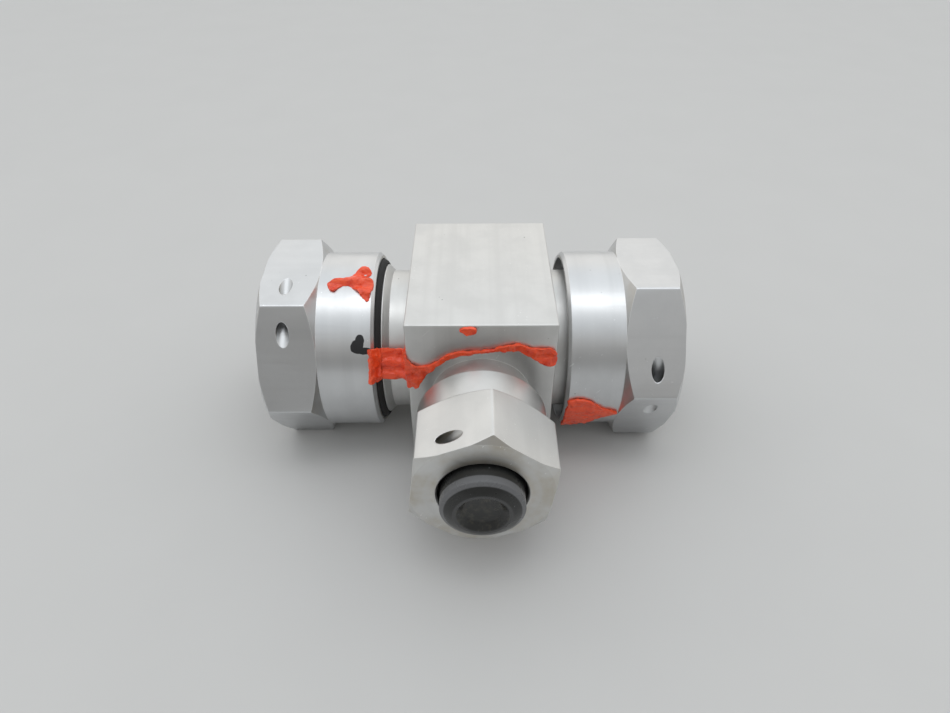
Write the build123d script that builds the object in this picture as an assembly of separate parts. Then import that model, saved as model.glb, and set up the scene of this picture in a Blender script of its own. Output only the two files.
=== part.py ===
from build123d import *
from dataclasses import dataclass
from math import cos, radians, sin, tan
import os

# The run lies along X, the branch points to -Y and +Z is up. The origin is where
# the two axes cross. All sizes are in millimetres and all angles in degrees.

# Block between the three ports
block_width = 29.2
block_depth = 38.1
block_height = 36.5
block_edge_break = 0.3
neck_root_radius = 0.5

# Run ends of the body, made for 25.4 mm tube
run_bore_radius = 11.0
run_neck_radius = 15.05
run_neck_length = 4.0
run_lip_radius = 16.37
run_thread_radius = 16.67
run_thread_depth = 1.15
run_thread_length = 10.8
run_seal_radius = 17.6
run_seal_section = 2.35

# Run nuts
run_flats = 38.1
run_nut_length = 23.1
run_skirt_radius = 19.0
run_skirt_length = 11.45
run_skirt_bevel = 0.65
run_face_radius = 19.4
run_end_wall = 4.0
run_tube_hole_radius = 12.9
run_wire_hole_inset = 5.4
run_wire_hole_depth = 2.95

# Run plugs
run_flange_thickness = 3.0
run_spigot_length = 9.5
run_plug_seal_section = 2.4
run_stand_out = 1.85
run_nose_taper = 0.9
run_nose_radius = 9.8
run_dish_depth = 0.9

# Branch end of the body, made for 15.9 mm tube
branch_bore_radius = 6.4
branch_neck_radius = 10.1
branch_neck_length = 7.15
branch_lip_radius = 10.85
branch_thread_radius = 11.11
branch_thread_depth = 1.0
branch_thread_length = 7.1
branch_seal_radius = 11.75
branch_seal_section = 1.8

# Branch nut
branch_flats = 25.4
branch_nut_length = 19.1
branch_skirt_radius = 12.67
branch_skirt_length = 6.2
branch_skirt_bevel = 0.4
branch_face_radius = 13.0
branch_end_wall = 5.2
branch_tube_hole_radius = 8.1
branch_wire_hole_inset = 3.4
branch_wire_hole_depth = 3.3

# Branch plug
branch_flange_thickness = 2.6
branch_spigot_length = 8.0
branch_plug_seal_section = 1.8
branch_stand_out = 3.05
branch_nose_taper = 1.2
branch_nose_radius = 5.2
branch_dish_depth = 1.2

# How far each nut is turned, measured to its drilled corner from +Z, by the
# right hand about the way out of its port, and how far the left one is backed off
left_turn = -34.4
right_turn = 85.35
branch_turn = 53.2
backed_off = 3.9

# Clearances and small forms that the three ports share
seat_gap = 0.05
thread_clearance = 0.08
spigot_clearance = 0.05
ring_clearance = 0.02
groove_clearance = 0.025
skirt_clearance = 0.15
shank_clearance = 0.55
flange_clearance = 0.3
lip_land = 0.2
thread_start = 0.3
relief_depth = 0.25
relief_width = 2.0
mouth_bevel = 0.6
hole_bevel = 0.3
nose_break = 0.15
rim_width = 0.5
wire_hole_radius = 1.3
hex_corner_break = 0.15
corner_bevel_angle = 30

# Lacquer film. The bridge's outline on the block's front is in shares of half the
# block's width and heights above the run's axis. The edge dab's is X and how far
# below the top. Outlines on a skirt are in shares of its length, from its end, and
# degrees from +Z towards the front.
film = 0.3
bridge_outline = [
    (-1.0, 11.2), (-0.8, 8.4), (-0.64, 9.2), (-0.47, 11.2), (-0.15, 12.2), (0.26, 13.3),
    (0.49, 13.8), (0.76, 12.8), (0.97, 12.4), (0.97, 8.9), (0.81, 9.2), (0.51, 12.0),
    (0.14, 12.2), (-0.15, 11.5), (-0.43, 10.2), (-0.66, 7.6), (-0.79, 5.0), (-0.9, 2.6),
]
bridge_low = 3.2
bridge_high = 11.2
bridge_first_angle = 58.0
bridge_last_angle = 80.0
bridge_end_width = 0.6
bridge_overhang = 1.05
edge_dab_outline = [
    (-4.0, 0.7), (-3.2, 0.4), (-1.6, 0.4), (-0.8, 0.7), (-1.1, 1.7), (-2.2, 1.9), (-3.4, 1.5),
]
left_dab_outline = [
    (0.83, 18.5), (0.71, 21.9), (0.58, 18.5), (0.32, 22.0), (0.1, 29.1), (0.07, 23.6),
    (0.07, 14.0), (0.22, 12.8), (0.08, 8.0), (0.18, 3.4), (0.44, 10.0), (0.77, 14.6),
]
right_dab_outline = [
    (0.06, 94.0), (0.2, 92.4), (0.38, 93.2), (0.54, 96.8), (0.69, 101.2), (0.83, 103.2),
    (0.98, 107.0), (0.83, 109.6), (0.7, 113.2), (0.54, 119.4), (0.35, 127.0), (0.07, 130.0),
]


@dataclass
class Port:
    face: float
    bore_radius: float
    neck_radius: float
    neck_length: float
    lip_radius: float
    thread_radius: float
    thread_depth: float
    thread_length: float
    seal_radius: float
    seal_section: float
    flats: float
    nut_length: float
    skirt_radius: float
    skirt_length: float
    skirt_bevel: float
    face_radius: float
    end_wall: float
    tube_hole_radius: float
    wire_hole_inset: float
    wire_hole_depth: float
    flange_thickness: float
    spigot_length: float
    plug_seal_section: float
    stand_out: float
    nose_taper: float
    nose_radius: float
    dish_depth: float

    # Stations are distances from the crossing of the axes, along the port
    @property
    def lip_start(self):
        return self.face + self.neck_length

    @property
    def groove_start(self):
        return self.lip_start + self.lip_radius - self.neck_radius + lip_land

    @property
    def groove_end(self):
        return self.groove_start + self.seal_section + 2 * groove_clearance

    @property
    def male_end(self):
        return self.groove_end + self.thread_length

    @property
    def shoulder(self):
        return self.male_end + self.flange_thickness + 2 * seat_gap

    @property
    def nut_end(self):
        return self.shoulder + self.end_wall

    @property
    def skirt_end(self):
        return self.nut_end - self.nut_length

    @property
    def corner_radius(self):
        return self.flats / 2 / cos(radians(30))

    @property
    def nut_bore_radius(self):
        return self.thread_radius + thread_clearance


run = Port(
    face=block_width / 2, bore_radius=run_bore_radius, neck_radius=run_neck_radius,
    neck_length=run_neck_length, lip_radius=run_lip_radius,
    thread_radius=run_thread_radius, thread_depth=run_thread_depth,
    thread_length=run_thread_length, seal_radius=run_seal_radius,
    seal_section=run_seal_section, flats=run_flats, nut_length=run_nut_length,
    skirt_radius=run_skirt_radius, skirt_length=run_skirt_length,
    skirt_bevel=run_skirt_bevel, face_radius=run_face_radius, end_wall=run_end_wall,
    tube_hole_radius=run_tube_hole_radius, wire_hole_inset=run_wire_hole_inset,
    wire_hole_depth=run_wire_hole_depth, flange_thickness=run_flange_thickness,
    spigot_length=run_spigot_length, plug_seal_section=run_plug_seal_section,
    stand_out=run_stand_out, nose_taper=run_nose_taper, nose_radius=run_nose_radius,
    dish_depth=run_dish_depth,
)
branch = Port(
    face=block_depth / 2, bore_radius=branch_bore_radius,
    neck_radius=branch_neck_radius, neck_length=branch_neck_length,
    lip_radius=branch_lip_radius, thread_radius=branch_thread_radius,
    thread_depth=branch_thread_depth, thread_length=branch_thread_length,
    seal_radius=branch_seal_radius, seal_section=branch_seal_section,
    flats=branch_flats, nut_length=branch_nut_length,
    skirt_radius=branch_skirt_radius, skirt_length=branch_skirt_length,
    skirt_bevel=branch_skirt_bevel, face_radius=branch_face_radius,
    end_wall=branch_end_wall, tube_hole_radius=branch_tube_hole_radius,
    wire_hole_inset=branch_wire_hole_inset, wire_hole_depth=branch_wire_hole_depth,
    flange_thickness=branch_flange_thickness, spigot_length=branch_spigot_length,
    plug_seal_section=branch_plug_seal_section, stand_out=branch_stand_out,
    nose_taper=branch_nose_taper, nose_radius=branch_nose_radius,
    dish_depth=branch_dish_depth,
)

# A port is modelled pointing along +X. These turn it to its own side.
left_side = Rot(0, 0, 180)
right_side = Rot(0, 0, 0)
front_side = Rot(0, 0, -90)


def turned(*points):
    """Solid of revolution about X from (station, radius) points."""
    outline = make_face(Polyline(*points, close=True))
    return revolve(outline, Axis.X)


def drum(first, last, radius):
    """Plain cylinder about X between two stations."""
    return turned((first, 0), (last, 0), (last, radius), (first, radius))


def tube_end(port):
    """Neck, lip, seal groove and thread land of one end of the body."""
    floor = port.seal_radius - port.seal_section
    bevelled = port.thread_radius - port.thread_depth
    return turned(
        (0, 0), (0, port.neck_radius), (port.lip_start, port.neck_radius),
        (port.groove_start - lip_land, port.lip_radius),
        (port.groove_start, port.lip_radius), (port.groove_start, floor),
        (port.groove_end, floor), (port.groove_end, port.thread_radius),
        (port.male_end - port.thread_depth, port.thread_radius),
        (port.male_end, bevelled), (port.male_end, 0),
    )


def passage(port):
    """Bore from the crossing out through one end, with its bevelled mouth."""
    wide = port.bore_radius + mouth_bevel
    inner = port.male_end - mouth_bevel
    return turned(
        (0, 0), (0, port.bore_radius), (inner, port.bore_radius),
        (port.male_end, wide), (port.male_end, 0),
    )


def tee_body():
    block = Box(block_width, block_depth, block_height)
    block = chamfer(block.edges(), block_edge_break)
    ends = [left_side * tube_end(run), right_side * tube_end(run)]
    ends.append(front_side * tube_end(branch))
    body = block + ends
    roots = body.edges().filter_by(GeomType.CIRCLE).filter_by(is_neck_root)
    body = fillet(roots, neck_root_radius)
    ways = [left_side * passage(run), right_side * passage(run)]
    ways.append(front_side * passage(branch))
    return body - ways


def is_neck_root(edge):
    """Whether a circle lies where a neck leaves a face of the block."""
    middle = edge.arc_center
    on_side = abs(abs(middle.X) - run.face) < seat_gap and edge.radius == run.neck_radius
    on_front = abs(-middle.Y - branch.face) < seat_gap and edge.radius == branch.neck_radius
    return on_side or on_front


def seal_ring(middle, outer_radius, section):
    """Round-section rubber ring about X, centred at a station."""
    centre_radius = outer_radius - section / 2
    outline = Pos(middle, centre_radius) * Circle(section / 2)
    return revolve(outline, Axis.X)


def skirt_ring(port):
    """Ring in the groove behind the thread, which the nut's skirt closes over."""
    middle = (port.groove_start + port.groove_end) / 2
    return seal_ring(middle, port.seal_radius, port.seal_section)


def corner_bevels(port, hex_start):
    """Turned outline that bevels the hexagon's corners at both ends."""
    corner = port.corner_radius
    slope = tan(radians(corner_bevel_angle))
    inner = (hex_start, port.skirt_radius)
    inner_top = (hex_start + (corner - port.skirt_radius) * slope, corner)
    outer_top = (port.nut_end - (corner - port.face_radius) * slope, corner)
    outer = (port.nut_end, port.face_radius)
    rest = Polyline(outer, (port.nut_end, 0), (hex_start, 0), inner)
    edges = [straight_curve(inner, inner_top), Line(inner_top, outer_top)]
    edges += [straight_curve(outer_top, outer)]
    return revolve(make_face(edges + rest.edges()), Axis.X)


def straight_curve(start, end):
    """Straight edge written as a curve, so that it turns into a free-form cone."""
    middle = ((start[0] + end[0]) / 2, (start[1] + end[1]) / 2)
    return Spline(start, middle, end)


def nut(port):
    """Hexagon nut with a plain skirt, with its drilled corners at +Z and -Z."""
    hex_start = port.skirt_end + port.skirt_length
    profile = RegularPolygon(port.corner_radius, 6, rotation=90)
    bar = extrude(Plane.YZ.offset(hex_start) * profile, port.nut_end - hex_start)
    bar = chamfer(bar.edges().filter_by(Axis.X), hex_corner_break)
    overlap = hex_start + port.skirt_bevel
    skirt = turned(
        (port.skirt_end, 0), (port.skirt_end, port.skirt_radius - port.skirt_bevel),
        (port.skirt_end + port.skirt_bevel, port.skirt_radius),
        (overlap, port.skirt_radius), (overlap, 0),
    )
    solid = (bar & corner_bevels(port, hex_start)) + skirt
    return solid - nut_hollow(port) - wire_holes(port)


def nut_hollow(port):
    """Seal counterbore, thread bore, relief under the shoulder and tube hole."""
    wide = port.seal_radius + skirt_clearance
    bore = port.nut_bore_radius
    relief = bore + relief_depth
    hole = port.tube_hole_radius
    counterbore_end = port.groove_end + thread_start
    relief_start = port.shoulder - relief_width
    return turned(
        (port.skirt_end, 0), (port.skirt_end, wide), (counterbore_end, wide),
        (counterbore_end, bore), (relief_start, bore),
        (relief_start + relief_depth, relief), (port.shoulder, relief),
        (port.shoulder, hole), (port.nut_end - hole_bevel, hole),
        (port.nut_end, hole + hole_bevel), (port.nut_end, 0),
    )


def wire_holes(port):
    """Small drillings across the two opposite corners, for locking wire."""
    drill = Cylinder(wire_hole_radius, 2 * port.corner_radius, rotation=(90, 0, 0))
    station = port.nut_end - port.wire_hole_inset
    height = port.corner_radius - port.wire_hole_depth
    return [Pos(station, 0, side * height) * drill for side in (-1, 1)]


def plug(port):
    """Blanking plug: spigot with a ring groove, flange, shank and dished nose."""
    spigot = port.bore_radius - spigot_clearance
    flange = port.thread_radius - port.thread_depth - flange_clearance
    shank = port.tube_hole_radius - shank_clearance
    flange_start = port.male_end + seat_gap
    flange_end = flange_start + port.flange_thickness
    spigot_start = port.male_end - port.spigot_length
    break_start = port.nut_end + port.stand_out
    taper_start = break_start + nose_break
    tip = taper_start + port.nose_taper
    rim = port.nose_radius - rim_width
    solid = turned(
        (spigot_start, 0), (spigot_start, spigot - mouth_bevel),
        (spigot_start + mouth_bevel, spigot), (flange_start, spigot),
        (flange_start, flange), (flange_end, flange), (flange_end, shank),
        (break_start, shank), (taper_start, shank - nose_break),
        (tip, port.nose_radius), (tip, rim),
        (tip - port.dish_depth, rim - port.dish_depth), (tip - port.dish_depth, 0),
    )
    half_groove = port.plug_seal_section / 2 + groove_clearance
    middle = ring_station(port)
    floor = ring_radius(port) - port.plug_seal_section
    groove = drum(middle - half_groove, middle + half_groove, spigot + mouth_bevel)
    return solid - (groove - drum(middle - half_groove, middle + half_groove, floor))


def ring_station(port):
    """Middle of the groove in a plug's spigot."""
    return port.male_end - port.spigot_length + mouth_bevel + port.plug_seal_section


def ring_radius(port):
    return port.bore_radius - ring_clearance


def plug_ring(port):
    return seal_ring(ring_station(port), ring_radius(port), port.plug_seal_section)


def front_film(outline):
    """Film on the block's front face inside a closed curve of X and Z."""
    flat = make_face(Spline(*outline, periodic=True))
    return extrude(Plane.XZ.offset(block_depth / 2) * flat, film, dir=(0, -1, 0))


def edge_film():
    """Dab just under the block's top front edge."""
    return front_film([(x, block_height / 2 - depth) for x, depth in edge_dab_outline])


def skirt_film(outline, port, turn_out):
    """Film on a run skirt inside a closed curve of shares and degrees from +Z."""
    radius = port.skirt_radius
    angles = [angle for share, angle in outline]
    centre = (min(angles) + max(angles)) / 2
    out = (0, -sin(radians(centre)), cos(radians(centre)))
    stations = [turn_out * (port.skirt_end + share * port.skirt_length) for share, angle in outline]
    across = [-radius * sin(radians(angle - centre)) for angle in angles]
    flat = make_face(Spline(*zip(stations, across), periodic=True))
    wedge = extrude(Plane((0, 0, 0), x_dir=(1, 0, 0), z_dir=out) * flat, 2 * radius, dir=out)
    first = min(stations) - film
    last = max(stations) + film
    return wedge & (drum(first, last, radius + film) - drum(first, last, radius))


def bridge_sector(*outline):
    """Sector of a solid of revolution, over the bridge's angles on the left side."""
    start = Rot(90 - bridge_last_angle, 0, 0)
    span = bridge_last_angle - bridge_first_angle
    return left_side * start * revolve(make_face(Polyline(*outline, close=True)), Axis.X, span)


def neck_film(port):
    """Film that spans from the block to the lip, low enough for the nut to pass over."""
    lip_end = port.groove_start - lip_land
    low = port.seal_radius - film
    return bridge_sector(
        (port.face, low), (port.lip_start, low - film), (lip_end, port.lip_radius),
        (port.groove_start, port.lip_radius), (port.groove_start, port.seal_radius),
        (port.skirt_end - bridge_overhang - film, port.seal_radius),
        (port.face, port.skirt_radius - 2 * film),
    )


def bridge_film(body):
    """Film across the block's front, round its left edge and over the neck."""
    depth = block_depth / 2 + film - run_neck_radius * cos(radians(90 - bridge_last_angle))
    side = Box(film, depth, bridge_high - bridge_low)
    middle = (bridge_high + bridge_low) / 2
    side = Pos(-(block_width + film) / 2, (depth - block_depth) / 2 - film, middle) * side
    outline = [(share * block_width / 2, height) for share, height in bridge_outline]
    return front_film(outline) + side + neck_film(run) - body


def bridge_end_film(port):
    """Film over the edge of the backed-off skirt, where it hangs over the ring."""
    edge = port.skirt_end + backed_off
    bevel_end = edge + port.skirt_bevel
    inner = port.seal_radius + skirt_clearance
    return bridge_sector(
        (edge - bridge_overhang, inner), (edge, inner),
        (edge, port.skirt_radius - port.skirt_bevel), (bevel_end, port.skirt_radius),
        (bevel_end + bridge_end_width, port.skirt_radius),
        (bevel_end, port.skirt_radius + film), (edge, port.skirt_radius),
        (edge - bridge_overhang, inner + film),
    )


def export(shapes):
    os.makedirs("parts", exist_ok=True)
    for name, shape in shapes.items():
        export_step(shape, f"parts/{name}.step")


def main():
    shapes = {"tee_body": tee_body()}
    sides = {
        "left": (run, left_side * Pos(backed_off, 0, 0), left_side, left_turn),
        "right": (run, right_side, right_side, right_turn),
        "branch": (branch, front_side, front_side, branch_turn),
    }
    for name, (port, place, seat, turn) in sides.items():
        shapes[name + "_nut"] = place * Rot(turn, 0, 0) * nut(port)
        shapes[name + "_plug"] = place * plug(port)
        shapes[name + "_plug_ring"] = place * plug_ring(port)
        shapes[name + "_skirt_ring"] = seat * skirt_ring(port)
    shapes["bridge_lacquer"] = bridge_film(shapes["tee_body"])
    shapes["edge_lacquer"] = edge_film()
    shapes["bridge_end_lacquer"] = bridge_end_film(run)
    shapes["left_nut_lacquer"] = Pos(-backed_off, 0, 0) * skirt_film(left_dab_outline, run, -1)
    shapes["right_nut_lacquer"] = skirt_film(right_dab_outline, run, 1)
    export(shapes)


if __name__ == "__main__":
    main()
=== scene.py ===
from math import atan2, cos, pi, radians, sin, tan

import bmesh
import bpy
from bpy.props import FloatProperty, FloatVectorProperty, PointerProperty
from bpy.types import Operator, Panel, PropertyGroup
from mathutils import Matrix, Vector


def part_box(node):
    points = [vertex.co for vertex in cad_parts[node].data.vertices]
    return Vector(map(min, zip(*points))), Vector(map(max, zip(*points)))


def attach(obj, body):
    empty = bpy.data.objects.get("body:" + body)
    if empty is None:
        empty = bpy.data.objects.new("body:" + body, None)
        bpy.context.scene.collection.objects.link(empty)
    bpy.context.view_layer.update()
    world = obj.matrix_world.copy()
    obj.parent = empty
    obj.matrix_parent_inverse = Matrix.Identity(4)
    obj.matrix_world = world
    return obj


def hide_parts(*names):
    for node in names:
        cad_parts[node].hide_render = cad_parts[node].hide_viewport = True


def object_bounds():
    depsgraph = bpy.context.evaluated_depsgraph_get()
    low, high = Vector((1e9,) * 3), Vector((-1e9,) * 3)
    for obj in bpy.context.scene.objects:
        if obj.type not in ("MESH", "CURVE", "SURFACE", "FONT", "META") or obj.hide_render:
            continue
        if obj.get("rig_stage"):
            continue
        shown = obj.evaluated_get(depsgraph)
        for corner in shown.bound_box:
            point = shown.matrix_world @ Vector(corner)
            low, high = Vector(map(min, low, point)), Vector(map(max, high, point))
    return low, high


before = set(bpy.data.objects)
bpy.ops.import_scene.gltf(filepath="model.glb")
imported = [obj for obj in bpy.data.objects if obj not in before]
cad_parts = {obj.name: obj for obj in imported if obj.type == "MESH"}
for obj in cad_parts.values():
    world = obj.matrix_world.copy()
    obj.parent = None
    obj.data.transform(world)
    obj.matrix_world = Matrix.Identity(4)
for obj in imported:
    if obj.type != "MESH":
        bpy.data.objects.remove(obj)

bl_info = {
    "name": "Unequal tee fitting",
    "version": (1, 0, 0),
    "blender": (4, 5, 0),
    "location": "3D View > Sidebar > Tee fitting",
    "description": "Models a tube tee with union nuts, plugs, seal rings and torque lacquer",
    "category": "Mesh",
}

MM = 0.001
ROUND_STEPS = 128
RING_STEPS = 32
SMOOTH_ANGLE = radians(18)
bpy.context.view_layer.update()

# Cutter marks per metre: across the marks on round, flat and end faces, and along them
ROUND_GRAIN = 3600.0
FLAT_GRAIN = 2400.0
RING_GRAIN = 3000.0
LONG_GRAIN = 70.0

# Paler plastic for scratches and for painted highlights on a plug's rim and in a band round
# its end; then that band's length
PALE_SCRATCH_AND_HIGHLIGHT = (0.13, 0.132, 0.138)
HIGHLIGHT_BAND_LENGTH = 1.5 * MM

# Lacquer: the grain of its mesh, then its swelling and its pulling sideways, each as
# the size of the cloud pattern, the reach, and the level that stays in place
FILM_VOXEL = 0.09 * MM
SWELLING = (1.5 * MM, 0.34 * MM, 0.42)
PULLING = (1.7 * MM, 0.7 * MM, 0.5)

# Folds of the lacquer over the neck
FOLD_START = 0.5 * MM
FOLD_HEIGHT = 0.3 * MM
FOLD_FIRST = radians(59)
FOLDS_PER_RADIAN = 40

# Hollow in the torn end of the strand, as X, Z and reach along both, and its depth as a
# share of the film
HOLLOW = (12.4 * MM, 10.9 * MM, 1.9 * MM, 0.8 * MM)
HOLLOW_DEPTH = 0.9

# Lump that carries the lacquer round the block's corner: its width and depth, bottom and
# top, how far it laps the side and the front, and its rounding
LUMP_SECTION = (1.5 * MM, 0.75 * MM)
LUMP_HEIGHTS = (2.9 * MM, 8.6 * MM)
LUMP_LAP = (0.4 * MM, 0.15 * MM)
LUMP_ROUNDING = 0.3 * MM

# How far the nut's film hangs past the ring's groove, its play over the neck's film, and
# the share of its height that it loses there
OVERLAP = 0.25 * MM
OVERLAP_GAP = 0.06 * MM
DROOP = 0.8

# Blots of marker on the left skirt: station in mm, degrees from the top, and reach in mm
# along and across
INK_BLOTS = (
    (-24.5, 56.4, 1.3, 1.35), (-23.95, 52.6, 0.85, 1.1), (-22.9, 58.9, 1.6, 0.72),
)

# Photograph's camera, worked out from the hexagons and the block
CAMERA_PLACE = (-1.475 * MM, -118.257 * MM, 95.833 * MM)
CAMERA_PITCH, CAMERA_YAW, CAMERA_ROLL = radians(40.644), radians(0.153), radians(-0.123)
SENSOR_WIDTH, FOCAL_LENGTH = 36, 25.627
CLIP_START = 0.01

# Lamp over the object and floor under it, in metres and watts
LAMP_PLACE = (0.0, -0.05, 0.55)
LAMP_SIZE = (0.5, 0.16)
LAMP_POWER = 0.35
FLOOR_SIZE = 4


def length(name, description, millimetres):
    """A length property, in metres, with its default given in millimetres."""
    return FloatProperty(
        name=name, description=description, default=millimetres * MM,
        unit="LENGTH", subtype="DISTANCE", precision=5,
    )


def colour(name, description, default):
    return FloatVectorProperty(
        name=name, description=description, default=default,
        size=3, subtype="COLOR", min=0.0, max=1.0,
    )


class RunSizes(PropertyGroup):
    face: length("Block face", "From the crossing to the block's side", 14.6)
    bore_radius: length("Bore", "Radius of the tube passage", 11.0)
    neck_radius: length("Neck", "Radius of the plain neck", 15.05)
    neck_length: length("Neck length", "Length of the plain neck", 4.0)
    lip_radius: length("Lip", "Radius of the lip before the ring", 16.37)
    thread_radius: length("Thread", "Outer radius of the thread", 16.67)
    thread_depth: length("Thread depth", "Depth of the thread", 1.15)
    thread_pitch: length("Pitch", "Pitch of the thread", 2.1167)
    thread_length: length("Thread length", "Length of the thread", 10.8)
    seal_radius: length("Ring", "Outer radius of the ring under the skirt", 17.6)
    seal_section: length("Ring section", "Thickness of that ring", 2.35)
    flats: length("Flats", "Hexagon across flats", 38.1)
    nut_length: length("Nut length", "Whole length of the nut", 23.1)
    skirt_radius: length("Skirt", "Radius of the nut's skirt", 19.0)
    skirt_length: length("Skirt length", "Length of the nut's skirt", 11.45)
    skirt_bevel: length("Skirt bevel", "Bevel on the skirt's end", 0.65)
    face_radius: length("End face", "Radius of the nut's flat end face", 19.4)
    end_wall: length("End wall", "Thickness of the nut's end wall", 4.0)
    hole_radius: length("Tube hole", "Radius of the hole in the nut's end", 12.9)
    wire_inset: length("Wire hole inset", "From the nut's end to the wire hole", 5.4)
    wire_depth: length("Wire hole depth", "From the corner in to the wire hole", 2.95)
    flange: length("Flange", "Thickness of the plug's flange", 3.0)
    spigot_length: length("Spigot", "Length of the plug's spigot", 9.5)
    plug_section: length("Spigot ring", "Thickness of the ring on the spigot", 2.4)
    stand_out: length("Stand-out", "How far the plug's shank stands out", 1.85)
    nose_taper: length("Nose taper", "Length of the plug's tapered nose", 0.9)
    nose_radius: length("Nose", "Radius of the plug's tip", 9.8)
    dish_depth: length("Dish", "Depth of the dish in the plug's tip", 0.9)


class BranchSizes(PropertyGroup):
    face: length("Block face", "From the crossing to the block's front", 19.05)
    bore_radius: length("Bore", "Radius of the tube passage", 6.4)
    neck_radius: length("Neck", "Radius of the plain neck", 10.1)
    neck_length: length("Neck length", "Length of the plain neck", 7.15)
    lip_radius: length("Lip", "Radius of the lip before the ring", 10.85)
    thread_radius: length("Thread", "Outer radius of the thread", 11.11)
    thread_depth: length("Thread depth", "Depth of the thread", 1.0)
    thread_pitch: length("Pitch", "Pitch of the thread", 1.8143)
    thread_length: length("Thread length", "Length of the thread", 7.1)
    seal_radius: length("Ring", "Outer radius of the ring under the skirt", 11.75)
    seal_section: length("Ring section", "Thickness of that ring", 1.8)
    flats: length("Flats", "Hexagon across flats", 25.4)
    nut_length: length("Nut length", "Whole length of the nut", 19.1)
    skirt_radius: length("Skirt", "Radius of the nut's skirt", 12.67)
    skirt_length: length("Skirt length", "Length of the nut's skirt", 6.2)
    skirt_bevel: length("Skirt bevel", "Bevel on the skirt's end", 0.4)
    face_radius: length("End face", "Radius of the nut's flat end face", 13.0)
    end_wall: length("End wall", "Thickness of the nut's end wall", 5.2)
    hole_radius: length("Tube hole", "Radius of the hole in the nut's end", 8.1)
    wire_inset: length("Wire hole inset", "From the nut's end to the wire hole", 3.4)
    wire_depth: length("Wire hole depth", "From the corner in to the wire hole", 3.3)
    flange: length("Flange", "Thickness of the plug's flange", 2.6)
    spigot_length: length("Spigot", "Length of the plug's spigot", 8.0)
    plug_section: length("Spigot ring", "Thickness of the ring on the spigot", 1.8)
    stand_out: length("Stand-out", "How far the plug's shank stands out", 3.05)
    nose_taper: length("Nose taper", "Length of the plug's tapered nose", 1.2)
    nose_radius: length("Nose", "Radius of the plug's tip", 5.2)
    dish_depth: length("Dish", "Depth of the dish in the plug's tip", 1.2)


class SharedSizes(PropertyGroup):
    block_height: length("Block height", "Height of the block", 36.5)
    edge_break: length("Edge break", "Bevel on the block's edges", 0.35)
    hex_break: length("Corner break", "Rounding of the hexagon's long edges", 0.3)
    lip_land: length("Lip land", "Flat on top of the lip", 0.2)
    seat_gap: length("Seat gap", "Play each side of the plug's flange", 0.05)
    skirt_clearance: length("Skirt clearance", "Play between ring and skirt", 0.15)
    shank_clearance: length("Shank clearance", "Play between plug and nut", 0.55)
    flange_clearance: length("Flange clearance", "Play between flange and nut", 0.3)
    bore_clearance: length("Bore clearance", "Play between spigot and bore", 0.05)
    mouth_bevel: length("Mouth bevel", "Bevel at the bore's mouth", 0.6)
    hole_bevel: length("Hole bevel", "Bevel on the tube hole's edge", 0.3)
    nose_break: length("Nose break", "Bevel round the plug's end", 0.15)
    rim_width: length("Rim", "Width of the rim round the plug's dish", 0.5)
    wire_radius: length("Wire hole", "Radius of the locking-wire holes", 1.3)
    ring_clearance: length("Ring clearance", "Play between spigot ring and bore", 0.02)
    corner_slope: FloatProperty(
        name="Corner bevel", description="Slope of the hexagon's corner bevels",
        default=radians(30), unit="ROTATION", subtype="ANGLE",
    )


class NutTurns(PropertyGroup):
    left: FloatProperty(
        name="Left", description="Turn of the left nut's drilled corner from the top",
        default=radians(-34.4), unit="ROTATION", subtype="ANGLE",
    )
    right: FloatProperty(
        name="Right", description="Turn of the right nut's drilled corner from the top",
        default=radians(85.35), unit="ROTATION", subtype="ANGLE",
    )
    branch: FloatProperty(
        name="Branch", description="Turn of the branch nut's drilled corner from the top",
        default=radians(53.2), unit="ROTATION", subtype="ANGLE",
    )


class FinishColours(PropertyGroup):
    aluminium: colour("Aluminium", "Bare satin metal", (0.67, 0.67, 0.66))
    rubber: colour("Rubber", "Seal rings", (0.012, 0.012, 0.013))
    plastic: colour("Plug", "Turned dark plastic", (0.016, 0.0165, 0.016))
    lacquer: colour("Lacquer", "Torque lacquer", (0.90, 0.085, 0.022))
    ink: colour("Ink", "Marker on the left skirt", (0.012, 0.012, 0.014))
    floor: colour("Floor", "Pale floor", (0.57, 0.57, 0.565))


class FittingSettings(PropertyGroup):
    run: PointerProperty(type=RunSizes)
    branch: PointerProperty(type=BranchSizes)
    shared: PointerProperty(type=SharedSizes)
    turns: PointerProperty(type=NutTurns)
    colours: PointerProperty(type=FinishColours)


def settings():
    return bpy.context.scene.tee_fitting


# Each port is modelled pointing along +X and then turned to its own side
SIDES = {
    "left": Matrix.Rotation(pi, 4, "Z"),
    "right": Matrix.Identity(4),
    "branch": Matrix.Rotation(-pi / 2, 4, "Z"),
}


class Port:
    """Stations along one port, measured from the crossing of the axes."""

    def __init__(self, side):
        shared = settings().shared
        self.side = side
        self.sizes = settings().branch if side == "branch" else settings().run
        sizes = self.sizes
        self.lip_start = sizes.face + sizes.neck_length
        self.lip_end = self.lip_start + sizes.lip_radius - sizes.neck_radius
        self.groove_start = self.lip_end + shared.lip_land
        self.groove_end = self.groove_start + sizes.seal_section + shared.seat_gap
        self.male_end = self.groove_end + sizes.thread_length
        self.backed_off = self.place_of_nut() - self.seated_end()
        self.nut_end = self.seated_end() + self.backed_off
        self.skirt_end = self.nut_end - sizes.nut_length
        self.shoulder = self.nut_end - sizes.end_wall
        self.corner_radius = sizes.flats / 2 / cos(pi / 6)
        self.face = sizes.face
        self.skirt_radius = sizes.skirt_radius
        self.seal_radius = sizes.seal_radius
        self.block_front = settings().branch.face

    def seated_end(self):
        gaps = 2 * settings().shared.seat_gap
        return self.male_end + self.sizes.flange + gaps + self.sizes.end_wall

    def place_of_nut(self):
        """How far out the frame's nut reaches."""
        low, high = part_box(self.side + "_nut")
        return max((SIDES[self.side].inverted() @ Vector(corner)).x for corner in (low, high))


# Modelling helpers


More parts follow.
